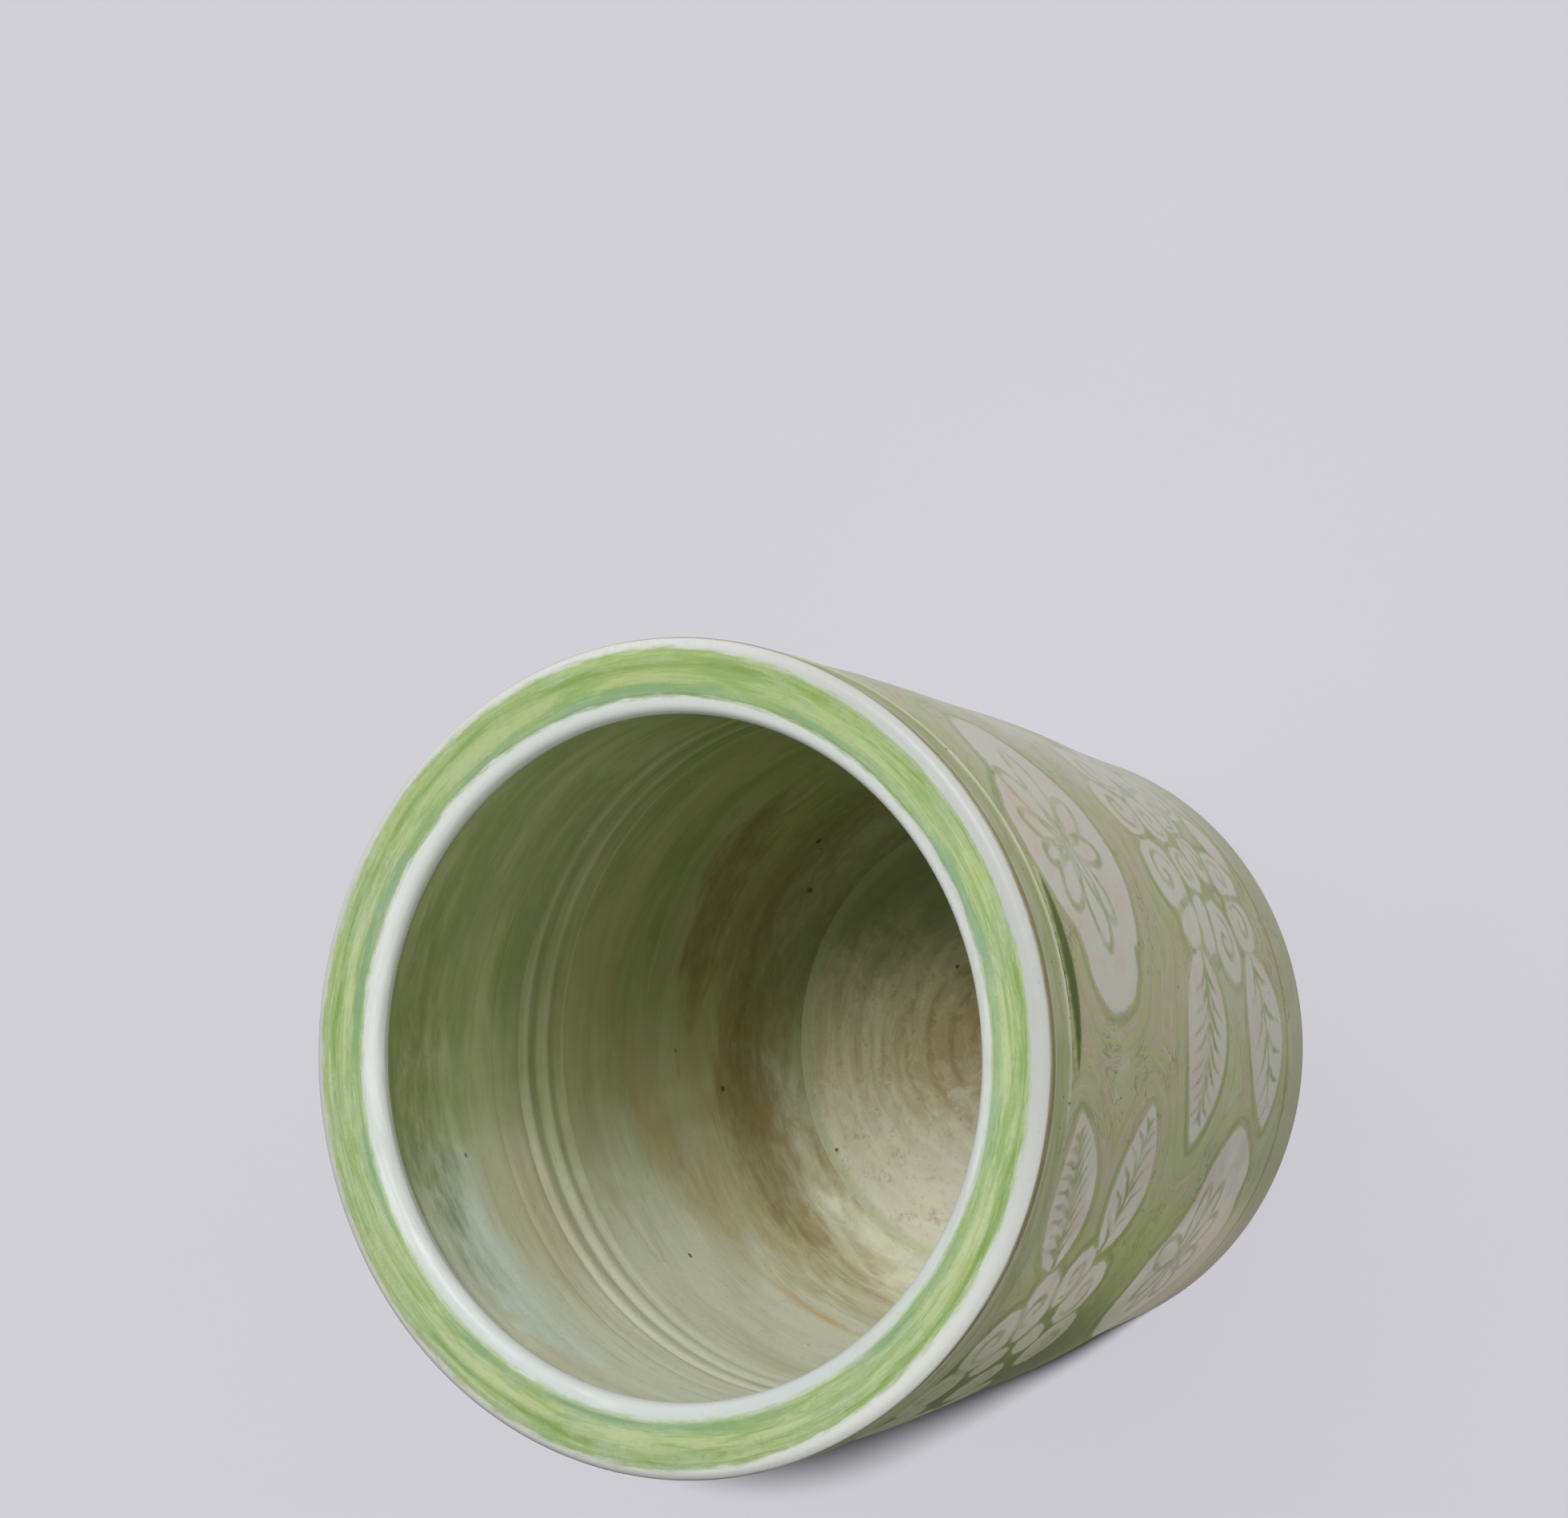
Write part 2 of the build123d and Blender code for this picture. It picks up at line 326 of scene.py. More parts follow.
def lens(length, height):
    """Pointed drop of thick glaze hanging under the ridge."""
    around = np.linspace(0, 2 * math.pi, 40)[:-1]
    loop = [(length / 2 * math.cos(t), height / 2 * math.sin(t) * abs(math.sin(t)) ** 0.3) for t in around]

    def draw(x, y):
        return inside_loop(x, y, np.array(loop)), np.full(x.shape, UNINKED)

    return draw, length / 2 + 1, height / 2 + 1


def wall_point(degrees, height, x, y):
    """Angle, height and glazed radius of a drawn point on the wall."""
    z = height + y
    scale = radius_at(OUTER_WALL, np.array([height]))[0]
    return math.radians(degrees - 90) + x / scale, z, radius_at(OUTER_WALL, z)


def panels(name, motifs, step=0.42, rise=0.075, margin=1.5):
    """Thin closed patches on the wall. Attributes edge and ink: depth inside the outline and the strokes."""
    verts, faces, edges, inks = [], [], [], []
    for degrees, height, (draw, half_x, half_y) in motifs:
        x, y = np.meshgrid(np.arange(-half_x - 2, half_x + 2, step), np.arange(-half_y - 2, half_y + 2, step))
        edge, ink = draw(x, y)
        good = (edge > -margin) & (height + y < WALL_TOP + 0.1)
        cells = good[:-1, :-1] & good[1:, :-1] & good[:-1, 1:] & good[1:, 1:]
        used = np.zeros(good.shape, bool)
        for part in (used[:-1, :-1], used[1:, :-1], used[:-1, 1:], used[1:, 1:]):
            part |= cells
        index = np.full(good.shape, -1)
        index[used] = np.arange(used.sum()) + len(verts)
        a, z, r = wall_point(degrees, height, x[used], y[used])
        swell = np.clip((edge[used] + 1.0) / 1.6, 0, 1)
        lift = rise * swell**2 * (3 - 2 * swell) - TUCK + TUCK * np.clip(ink[used] / 0.3 + 0.5, 0, 1) * swell
        r = r + wall_relief(a, z) + lift
        quads = [index[:-1, :-1], index[:-1, 1:], index[1:, 1:], index[1:, :-1]]
        quads = np.stack([q[cells] for q in quads], -1)
        verts += list(zip(r * np.cos(a) * MM, r * np.sin(a) * MM, z * MM))
        edges += list(edge[used])
        inks += list(ink[used])
        faces += quads.tolist()
        pairs = np.vstack([quads[:, [k, (k + 1) % 4]] for k in range(4)])
        known = {tuple(p) for p in pairs.tolist()}
        rim = [(i, j) for i, j in known if (j, i) not in known]
        a, z, r = wall_point(degrees, height, np.zeros(1), np.zeros(1))
        hub = len(verts)
        deep = (r[0] - ROOT_DEPTH) * MM
        verts.append((deep * math.cos(a[0]), deep * math.sin(a[0]), z[0] * MM))
        edges.append(5.0)
        inks.append(UNINKED)
        faces += [[j, i, hub] for i, j in rim]
    piece = add_mesh(name, verts, faces)
    store(piece, "edge", edges)
    store(piece, "ink", inks)
    return piece


def store(piece, name, values):
    piece.data.attributes.new(name, "FLOAT", "POINT").data.foreach_set("value", np.array(values, np.float32))


def panel_edge_on(piece, motifs):
    """Stores on every point of the wall how far it lies inside the nearest panel (negative outside)."""
    places = np.empty(len(piece.data.vertices) * 3)
    piece.data.vertices.foreach_get("co", places)
    x, y, z = places.reshape(-1, 3).T / MM
    angle = np.degrees(np.arctan2(y, x)) + 90
    edge = np.full(len(x), -OUTLINE_REACH)
    for degrees, height, (draw, half_x, half_y) in motifs:
        scale = radius_at(OUTER_WALL, np.array([height]))[0]
        across = ((angle - degrees + 180) % 360 - 180) * math.pi / 180 * scale
        near = (np.abs(across) < half_x + OUTLINE_REACH) & (np.abs(z - height) < half_y + OUTLINE_REACH)
        edge[near] = np.maximum(edge[near], draw(across[near], z[near] - height)[0])
    store(piece, "edge", edge)


# -------------------------------- materials
class Paint:
    """Builds one node material. Values may be numbers, colours or sockets of other nodes.

    Lengths are in millimetres. sin is -1 at the front, and cos is 1 on the +X side."""

    def __init__(self, name, roughness=0.35, specular=0.2):
        self.material = bpy.data.materials.new(name)
        self.material.use_nodes = True
        self.nodes = self.material.node_tree.nodes
        self.links = self.material.node_tree.links
        self.shader = self.nodes["Principled BSDF"]
        self.shader.inputs["Roughness"].default_value = roughness
        self.shader.inputs["Specular IOR Level"].default_value = specular
        where = self.nodes.new("ShaderNodeTexCoord").outputs["Object"]
        self.place = self.vector("SCALE", where, scale=1 / MM)
        self.x, self.y, self.z = self.split(self.place)
        self.radius = self.math("SQRT", self.add(self.times(self.x, self.x), self.times(self.y, self.y)))
        self.cos = self.math("DIVIDE", self.x, self.radius)
        self.sin = self.math("DIVIDE", self.y, self.radius)

    def put(self, socket, value):
        if isinstance(value, bpy.types.NodeSocket):
            self.links.new(value, socket)
        elif isinstance(value, (tuple, list)) and len(value) == 3 and socket.type == "RGBA":
            socket.default_value = (*value, 1.0)
        else:
            socket.default_value = value

    def math(self, kind, a, b=0.0):
        node = self.nodes.new("ShaderNodeMath")
        node.operation = kind
        for socket, value in zip(node.inputs, (a, b)):
            self.put(socket, value)
        return node.outputs[0]

    def vector(self, kind, a, b=None, scale=None):
        node = self.nodes.new("ShaderNodeVectorMath")
        node.operation = kind
        self.put(node.inputs[0], a)
        if b is not None:
            self.put(node.inputs[1], b)
        if scale is not None:
            self.put(node.inputs["Scale"], scale)
        return node.outputs["Vector"]

    def split(self, v):
        node = self.nodes.new("ShaderNodeSeparateXYZ")
        self.put(node.inputs[0], v)
        return node.outputs[0], node.outputs[1], node.outputs[2]

    def join(self, x, y, z):
        node = self.nodes.new("ShaderNodeCombineXYZ")
        for socket, value in zip(node.inputs, (x, y, z)):
            self.put(socket, value)
        return node.outputs[0]

    def times(self, a, b):
        return self.math("MULTIPLY", a, b)

    def add(self, a, b):
        return self.math("ADD", a, b)

    def less(self, a, b):
        return self.math("SUBTRACT", a, b)

    def noise(self, place, scale, detail, rough, distort):
        node = self.nodes.new("ShaderNodeTexNoise")
        self.put(node.inputs["Vector"], place)
        node.inputs["Scale"].default_value = scale
        node.inputs["Detail"].default_value = detail
        node.inputs["Roughness"].default_value = rough
        node.inputs["Distortion"].default_value = distort
        return node.outputs["Fac"]

    def band(self, value, low, high, to_low=0.0, to_high=1.0):
        """Smooth step of value from low to high."""
        node = self.nodes.new("ShaderNodeMapRange")
        node.interpolation_type = "SMOOTHSTEP"
        given = {"Value": value, "From Min": low, "From Max": high, "To Min": to_low, "To Max": to_high}
        for key, v in given.items():
            self.put(node.inputs[key], v)
        return node.outputs["Result"]

    def hump(self, value, middle, half):
        """1 at the middle, falling smoothly to 0 half away on both sides."""
        return self.band(self.math("ABSOLUTE", self.less(value, middle)), half, 0.0)

    def mix(self, share, a, b):
        node = self.nodes.new("ShaderNodeMix")
        node.data_type = "RGBA"
        self.put(node.inputs["Factor"], share)
        self.put(node.inputs[6], a)
        self.put(node.inputs[7], b)
        return node.outputs[2]

    def over(self, colour, where, strength, tint):
        """The colour with a tint laid over it, as much as the share `where` times strength."""
        return self.mix(self.times(where, strength), colour, tint)

    def grains(self, scale, detail=3.0, rough=0.55, distort=0.0):
        """Noise that is the same in every direction."""
        return self.noise(self.place, scale, detail, rough, distort)

    def streaks(self, turns, across, detail=3.0, rough=0.55, distort=0.0, lift=1.0):
        """Noise in streaks that run round the pot: slow round it, fast across."""
        level = self.add(self.times(self.radius, across), self.times(self.z, across * lift))
        place = self.join(self.times(self.cos, turns), self.times(self.sin, turns), level)
        return self.noise(place, 1.0, detail, rough, distort)

    def sway(self, noise, reach):
        """The noise around 0 instead of 0.5, times reach."""
        return self.times(self.less(noise, 0.5), reach)

    def attribute(self, name):
        node = self.nodes.new("ShaderNodeAttribute")
        node.attribute_name = name
        return node.outputs["Fac"]

    def spot(self, degrees, height, half_degrees, half_height, slope, crisp=0.1):
        """Ragged oval patch on the wall, for stains and for painted shade: 1 within, 0 outside."""
        a = math.radians(degrees - 90)
        across = self.less(self.times(self.sin, math.cos(a)), self.times(self.cos, math.sin(a)))
        facing = self.add(self.times(self.cos, math.cos(a)), self.times(self.sin, math.sin(a)))
        u = self.times(across, math.degrees(1) / half_degrees)
        level = self.less(self.less(self.z, height), self.times(across, slope * math.degrees(1)))
        v = self.times(level, 1 / half_height)
        ragged = self.sway(self.streaks(4.0, 0.22, 4.0, 0.62, 0.6), 2.2)
        inside = self.add(self.math("SQRT", self.add(self.times(u, u), self.times(v, v))), ragged)
        mottle = self.band(self.streaks(10.0, 0.45, 5.0, 0.7), 0.34, 0.62, 0.5, 1.0)
        return self.times(self.times(self.band(inside, 1.35, crisp), mottle), self.math("GREATER_THAN", facing, 0.0))

    def specks(self, scale, size, share):
        """Small round dark specks, in a share of the cells."""
        node = self.nodes.new("ShaderNodeTexVoronoi")
        self.put(node.inputs["Vector"], self.place)
        node.inputs["Scale"].default_value = scale
        spot = self.band(node.outputs["Distance"], size, size * 0.45)
        red, _, _ = self.split(node.outputs["Color"])
        return self.times(spot, self.math("LESS_THAN", red, share))

    def bump(self, height, strength, distance):
        node = self.nodes.new("ShaderNodeBump")
        node.inputs["Strength"].default_value = strength
        node.inputs["Distance"].default_value = distance * MM
        self.put(node.inputs["Height"], height)
        self.links.new(node.outputs["Normal"], self.shader.inputs["Normal"])

    def finish(self, colour):
        self.put(self.shader.inputs["Base Color"], colour)
        return self.material


DEEP_GREEN = (0.08, 0.11, 0.025)
OLIVE = (0.31, 0.365, 0.095)
SAGE = (0.32, 0.355, 0.19)
MIST = (0.38, 0.42, 0.28)
BEIGE = (0.37, 0.325, 0.215)
PANEL = (0.45, 0.45, 0.38)
PINK = (0.465, 0.41, 0.335)
INK = (0.205, 0.245, 0.08)
BROWN = (0.13, 0.09, 0.045)
GLOSS = 0.42
SHEEN = 0.06


def one_side(paint, degrees, low, high, ragged):
    """Share of a ragged upright patch of the wall, its middle that far round from the front."""
    a = math.radians(degrees - 90)
    towards_it = paint.add(paint.times(paint.cos, math.cos(a)), paint.times(paint.sin, math.sin(a)))
    noise = paint.grains(0.035, 5.0, 0.68, 0.6)
    return paint.band(paint.add(towards_it, paint.sway(noise, ragged)), low, high)


def painted_side_shade(paint):
    """Share of painted shade, darker down the -X side between 20 and 70 mm up."""
    return paint.times(one_side(paint, -84, 0.66, 0.94, 0.3), paint.band(paint.z, 20.0, 70.0))


def reflection_veil_and_rub(paint, colour):
    """Painted reflection: a pale veil on the +X side, stronger lower down. The enamel is rubbed warm by the foot on the
    other side.
    """
    cloud = paint.sway(paint.grains(0.05, 4.0, 0.6, 0.5), 1.0)
    painted_reflection = paint.times(paint.band(paint.add(paint.cos, cloud), 0.55, 1.0), paint.band(paint.z, 118.0, 40.0, 0.4, 0.78))
    colour = paint.mix(painted_reflection, colour, (0.50, 0.49, 0.45))
    rubbed = paint.times(one_side(paint, -72, 0.66, 0.90, 0.4), paint.band(paint.z, 40.0, 16.0))
    return paint.mix(paint.times(rubbed, 0.75), colour, (0.60, 0.51, 0.39))


def ground(paint):
    """Colour of the green enamel: brush strokes that follow the outlines of the reserves."""
    edge = paint.attribute("edge")
    apart = paint.math("MAXIMUM", paint.times(edge, -1.0), 0.0)
    shift = paint.join(paint.times(apart, 0.16), paint.times(apart, 0.12), paint.times(apart, -0.2))
    flow = paint.vector("ADD", paint.vector("SCALE", paint.place, scale=0.055), shift)
    swirl = paint.noise(flow, 1.0, 4.0, 0.6, 0.6)
    fine = paint.noise(paint.vector("SCALE", flow, scale=3.2), 1.0, 5.0, 0.65, 0.4)
    cloud = paint.grains(0.035, 2.0, 0.5, 0.5)
    wobble = paint.sway(fine, 3.0)
    drift = paint.sway(cloud, 1.2)
    side = paint.band(paint.add(paint.times(paint.cos, -1.0), drift), 0.15, 0.8)
    front = paint.band(paint.less(drift, paint.sin), 0.7, 1.05)
    beige = paint.add(paint.times(paint.band(swirl, 0.38, 0.58), 0.75), paint.times(front, 0.4))
    colour = paint.mix(beige, SAGE, BEIGE)
    colour = paint.over(colour, paint.band(cloud, 0.5, 0.62), 0.5, MIST)
    colour = paint.over(colour, side, paint.band(paint.z, 114.0, 86.0, 0.35, 0.72), OLIVE)
    colour = paint.over(colour, paint.band(fine, 0.50, 0.36), 0.5, OLIVE)
    colour = paint.over(colour, paint.band(fine, 0.54, 0.70), 0.4, PANEL)
    outline = paint.hump(paint.add(apart, paint.times(wobble, 0.6)), 1.1, 1.3)
    contour = paint.hump(paint.add(apart, wobble), 5.5, 0.8)
    outline = paint.times(outline, paint.band(swirl, 0.66, 0.38, 0.12, 0.62))
    line = paint.math("MAXIMUM", outline, paint.times(contour, 0.2))
    colour = paint.mix(line, colour, (0.17, 0.22, 0.065))
    veins = paint.noise(paint.vector("SCALE", flow, scale=2.1), 1.0, 5.0, 0.7, 1.2)
    broken = paint.band(paint.grains(0.11, 3.0), 0.46, 0.62)
    colour = paint.over(colour, paint.hump(veins, 0.5, 0.03), paint.times(broken, 0.75), (0.15, 0.18, 0.08))
    stroke = paint.noise(paint.vector("SCALE", flow, scale=4.5), 1.0, 4.0, 0.7, 0.8)
    colour = paint.over(colour, paint.band(stroke, 0.56, 0.70), 0.4, (0.20, 0.235, 0.11))
    # painted shade: the -X side darkened towards deep green
    colour = paint.over(colour, painted_side_shade(paint), 0.8, DEEP_GREEN)
    scratch = paint.grains(0.42, 5.0, 0.8, 0.4)
    strewn = paint.times(paint.band(scratch, 0.58, 0.65), paint.band(paint.grains(0.05, 2.0), 0.42, 0.6))
    colour = paint.over(colour, strewn, 0.6, (0.12, 0.11, 0.05))
    # painted reflection as a pale veil on the +X side, and warm rubbing near the foot on the -X side
    colour = reflection_veil_and_rub(paint, colour)
    line = paint.times(paint.hump(paint.z, 10.2, 1.2), 0.35)
    colour = paint.mix(line, colour, DEEP_GREEN)
    return paint.mix(paint.times(paint.band(paint.z, 9.5, 8.0), 0.5), colour, (0.30, 0.31, 0.23))


def wall_bump(paint):
    fine = paint.grains(0.55, 4.0, 0.6)
    broad = paint.grains(0.12, 2.0, 0.5)
    paint.bump(paint.add(fine, paint.times(broad, 2.0)), 0.35, 0.3)


def wall_material():
    paint = Paint("green_wall_enamel", GLOSS, SHEEN)
    wall_bump(paint)
    return paint.finish(ground(paint))


def panel_material(name, ink_strength, grit_strength=0.6):
    """Reserve of pale enamel, drawn on in green, with the ground's colour outside its soft edge."""
    paint = Paint(name, GLOSS, SHEEN)
    wall_bump(paint)
    ragged = paint.sway(paint.grains(0.9, 3.0), 0.9)
    cloud = paint.grains(0.11, 3.0, 0.6, 0.6)
    colour = paint.mix(paint.band(cloud, 0.42, 0.64), PANEL, PINK)
    rosy = paint.grains(0.16, 4.0, 0.7, 0.8)
    colour = paint.over(colour, paint.band(rosy, 0.60, 0.72), 0.4, (0.42, 0.27, 0.20))
    warm = paint.band(paint.add(paint.cos, paint.sway(cloud, 0.8)), -0.3, -0.8)
    colour = paint.over(colour, warm, 0.75, (0.66, 0.60, 0.49))
    inside = paint.add(paint.attribute("edge"), ragged)
    washed = paint.times(paint.band(paint.grains(0.2, 4.0, 0.6, 0.5), 0.3, 0.66), ink_strength)
    ink = paint.band(paint.add(paint.attribute("ink"), paint.times(ragged, 0.8)), -0.35, 0.45)
    colour = paint.over(colour, ink, paint.add(washed, 0.2), INK)
    grit = paint.grains(0.8, 4.0, 0.8, 0.2)
    colour = paint.over(colour, paint.band(grit, 0.64, 0.72), grit_strength, (0.16, 0.12, 0.06))
    # painted shade on the -X side, as on the ground, then the painted reflection veil and the rubbing
    colour = reflection_veil_and_rub(paint, paint.mix(paint.times(painted_side_shade(paint), 0.68), colour, (0.19, 0.23, 0.07)))
    return paint.finish(paint.mix(paint.band(inside, -0.15, 0.45), ground(paint), colour))


def pool_material():
    paint = Paint("pooled_glaze", 0.3, SHEEN)
    wall_bump(paint)
    ragged = paint.sway(paint.grains(0.5, 2.0), 0.8)
    inside = paint.add(paint.attribute("edge"), ragged)
    deep = paint.mix(paint.band(inside, 0.2, 1.2), (0.15, 0.205, 0.045), (0.06, 0.085, 0.014))
    return paint.finish(paint.mix(paint.band(inside, -0.1, 0.5), ground(paint), deep))


def collar_material():
    """Streaky glaze over the moulded collar, with a rust line in its groove and painted highlights on its ridges."""
    paint = Paint("collar_glaze", 0.4, SHEEN)
    streak = paint.streaks(6.0, 0.5, 4.0, 0.6, 0.3)
    colour = paint.mix(paint.band(streak, 0.35, 0.65), (0.25, 0.28, 0.13), (0.33, 0.34, 0.20))
    groove = paint.hump(paint.z, 122.15, 0.5)
    colour = paint.over(colour, groove, 0.8, (0.17, 0.12, 0.06))
    line = paint.hump(paint.z, 121.6, 0.3)
    colour = paint.over(colour, line, 0.5, (0.12, 0.15, 0.06))
    # painted highlights: pale lines along the two ridges
    wear_and_highlight = paint.math("MAXIMUM", paint.hump(paint.z, 121.1, 0.3), paint.hump(paint.z, 115.9, 0.35))
    colour = paint.over(colour, wear_and_highlight, 0.6, (0.38, 0.395, 0.36))
    grit = paint.specks(0.9, 0.25, 0.35)
    gathered = paint.band(paint.grains(0.08, 2.0), 0.5, 0.6)
    colour = paint.over(colour, grit, paint.times(gathered, 0.8), BROWN)
    wall_bump(paint)
    return paint.finish(colour)


def lip_material(name, gloss):
    """Brushed green on the lip, with white slip showing at its two margins."""
    paint = Paint(name, gloss, 0.2)
    brush = paint.streaks(3.0, 0.5, 6.0, 0.7, 0.5)
    fine = paint.streaks(14.0, 1.7, 4.0, 0.65)
    patch = paint.streaks(3.5, 0.12, 4.0, 0.65, 0.8)
    grain = paint.grains(1.1, 3.0, 0.7)
    colour = paint.mix(paint.band(brush, 0.38, 0.62), (0.25, 0.36, 0.125), (0.38, 0.455, 0.25))
    colour = paint.over(colour, paint.band(patch, 0.50, 0.62), 0.45, (0.35, 0.40, 0.13))
    colour = paint.over(colour, paint.band(patch, 0.47, 0.36), 0.4, (0.32, 0.39, 0.27))
    colour = paint.over(colour, paint.band(fine, 0.50, 0.70), 0.45, (0.44, 0.50, 0.34))
    colour = paint.over(colour, paint.band(grain, 0.50, 0.64), 0.4, (0.25, 0.33, 0.15))
    hair = paint.streaks(5.0, 3.0, 3.0, 0.6)
    colour = paint.over(colour, paint.band(hair, 0.50, 0.66), 0.5, (0.20, 0.31, 0.10))
    light = paint.times(paint.hump(paint.radius, 55.4, 1.9), paint.band(brush, 0.44, 0.60))
    colour = paint.over(colour, light, 0.55, (0.45, 0.50, 0.25))
    shade = paint.band(paint.cos, 0.35, 0.95)
    colour = paint.over(colour, shade, 0.3, (0.17, 0.27, 0.06))
    sweep = paint.streaks(2.6, 0.05, 3.0)
    wander = paint.add(paint.radius, paint.sway(brush, 3.0))
    teal = paint.times(paint.hump(wander, 53.3, 1.4), paint.band(sweep, 0.36, 0.66))
    colour = paint.over(colour, teal, 0.6, (0.15, 0.28, 0.17))
    dark = paint.times(paint.hump(paint.radius, 57.3, 1.2), paint.band(brush, 0.58, 0.40, 0.25, 1.0))
    colour = paint.over(colour, dark, 0.65, (0.15, 0.25, 0.05))
    edge = paint.add(paint.radius, paint.sway(fine, 1.8))
    outer = paint.band(paint.sin, -0.8, 0.15, 58.2, 59.5)
    white = paint.math("MAXIMUM", paint.band(edge, 52.9, 51.9), paint.band(paint.less(edge, outer), -0.5, 0.6))
    dull = paint.band(paint.less(brush, paint.times(paint.cos, 0.25)), 0.3, 0.75)
    slip = paint.mix(dull, (0.60, 0.63, 0.59), (0.47, 0.50, 0.47))
    outside = paint.mix(paint.band(paint.cos, -0.95, 0.1), (0.62, 0.64, 0.59), (0.40, 0.415, 0.39))
    outside = paint.over(outside, paint.band(paint.sin, -0.6, 0.1), 0.5, (0.60, 0.60, 0.56))
    # painted shade on the underside of the outer roll
    under = paint.times(paint.band(paint.z, 124.4, 123.6), paint.band(paint.radius, 57.0, 58.0))
    outside = paint.over(outside, under, 0.35, (0.36, 0.36, 0.28))
    rust = paint.times(paint.band(paint.z, 124.1, 123.7), paint.band(paint.radius, 57.0, 58.0))
    outside = paint.over(outside, rust, paint.band(brush, 0.62, 0.42, 0.5, 0.95), (0.20, 0.14, 0.07))
    slip = paint.mix(paint.band(paint.radius, 55.0, 57.0), slip, outside)
    grit = paint.grains(1.5, 5.0, 0.8)
    inner_edge = paint.times(paint.hump(paint.radius, 51.8, 0.8), 0.7)
    wear_and_highlight = paint.math("MAXIMUM", paint.hump(paint.radius, 60.2, 1.0), inner_edge)
    wear_and_highlight = paint.times(paint.times(paint.band(grit, 0.55, 0.66), wear_and_highlight), paint.band(patch, 0.44, 0.60))
    slip = paint.over(slip, wear_and_highlight, 0.6, (0.33, 0.29, 0.22))
    paint.bump(paint.add(brush, paint.times(grain, 0.5)), 0.25, 0.2)
    return paint.finish(paint.mix(white, colour, slip))


# Lines along the ridges left by the thrower's fingers, painted as shade in the grooves and as highlights on the crests:
# height, half width, strength, colour
RIDGE_SHADING = [
    (79.4, 0.6, 0.4, (0.22, 0.19, 0.09)), (77.4, 1.2, 0.30, (0.66, 0.66, 0.52)),
    (74.4, 1.0, 0.35, (0.22, 0.23, 0.10)), (71.8, 1.2, 0.30, (0.66, 0.67, 0.53)),
    (69.6, 0.8, 0.2, (0.25, 0.25, 0.12)), (67.0, 0.6, 0.3, (0.62, 0.64, 0.5)), (86.5, 0.5, 0.3, (0.3, 0.2, 0.1)),
]
# Stains, and painted shade under the lip at 182 degrees and 111 mm: degrees round, height, half width in degrees, half
# height, slope, strength, colour
STAINS_AND_SHADE = [
    (150, 16, 75, 9, 0, 0.75, (0.22, 0.18, 0.075)), (146, 33, 30, 6, -0.05, 0.4, (0.24, 0.20, 0.08)),
    (195, 42, 34, 8, -0.38, 0.7, (0.40, 0.31, 0.12)), (212, 22, 60, 12, -0.15, 0.65, (0.48, 0.38, 0.18)),
    (180, 19, 42, 8, -0.05, 0.85, (0.28, 0.215, 0.085)),
    (241, 34.5, 13, 1.8, -0.05, 0.9, (0.55, 0.38, 0.14)), (236, 46, 30, 12, -0.2, 0.45, (0.74, 0.74, 0.64)),
    # the first entry below, at 182 degrees and 111 mm, is painted shade: the dark green under the lip
    (182, 111, 36, 13, 0, 0.8, (0.17, 0.225, 0.065)), (208, 84, 18, 14, 0, 0.5, (0.60, 0.50, 0.34)),
    (165, 60, 46, 12, 0.1, 0.4, (0.36, 0.31, 0.15)),
]


def inside_material():
    """Thin celadon over throwing ridges, with painted light on the -X side that the key lights, and stained brown low
    down.
    """
    paint = Paint("inner_glaze", 0.4)
    rings = paint.streaks(1.8, 0.13, 5.0, 0.62, 0.5)
    cloud = paint.streaks(2.2, 0.03, 3.0, 0.55, 0.9)
    fine = paint.streaks(3.0, 0.6, 5.0, 0.68, 0.3)
    tilted = paint.less(paint.add(paint.times(paint.cos, -0.17), paint.times(paint.sin, 0.98)), 1.0)
    level = paint.add(paint.z, paint.times(tilted, TILT))
    colour = paint.mix(paint.band(rings, 0.35, 0.65), (0.255, 0.325, 0.115), (0.37, 0.42, 0.20))
    # painted light: the -X side of the inside, lit by the key, made paler
    pale = paint.add(paint.times(paint.cos, -1.0), paint.times(paint.sin, 0.15))
    pale = paint.band(paint.add(pale, paint.sway(cloud, 0.8)), -0.15, 0.9)
    colour = paint.over(colour, pale, paint.band(paint.z, 78.0, 100.0, 0.9, 0.72), (0.71, 0.72, 0.60))
    colour = paint.over(colour, paint.band(fine, 0.50, 0.70), 0.2, (0.56, 0.58, 0.43))
    colour = paint.over(colour, paint.band(fine, 0.48, 0.34), 0.25, (0.25, 0.29, 0.11))
    warm = paint.band(paint.streaks(1.5, 0.06, 4.0, 0.6, 0.8), 0.46, 0.62)
    colour = paint.over(colour, warm, 0.34, (0.44, 0.39, 0.24))
    blue = paint.times(paint.hump(paint.z, 105.0, 15.0), paint.times(pale, paint.band(cloud, 0.44, 0.56)))
    colour = paint.over(colour, blue, 0.7, (0.58, 0.69, 0.64))
    for *place, share, tint in STAINS_AND_SHADE:
        colour = paint.over(colour, paint.spot(*place), share, tint)
    crescent = paint.spot(147, 33, 24, 5, -0.05, 0.8)
    colour = paint.over(colour, crescent, 0.62, (0.22, 0.145, 0.06))
    # painted shade and highlights along the throwing ridges
    for middle, half, share, tint in RIDGE_SHADING:
        colour = paint.over(colour, paint.hump(level, middle, half), share, tint)
    colour = paint.over(colour, paint.specks(0.12, 0.085, 0.35), 0.85, (0.05, 0.04, 0.015))
    grain = paint.grains(1.0, 3.0, 0.7)
    colour = paint.over(colour, paint.band(grain, 0.55, 0.75), 0.3, (0.30, 0.27, 0.14))
    paint.bump(paint.add(fine, paint.times(paint.grains(0.3, 3.0), 0.8)), 0.2, 0.25)
    return paint.finish(colour)


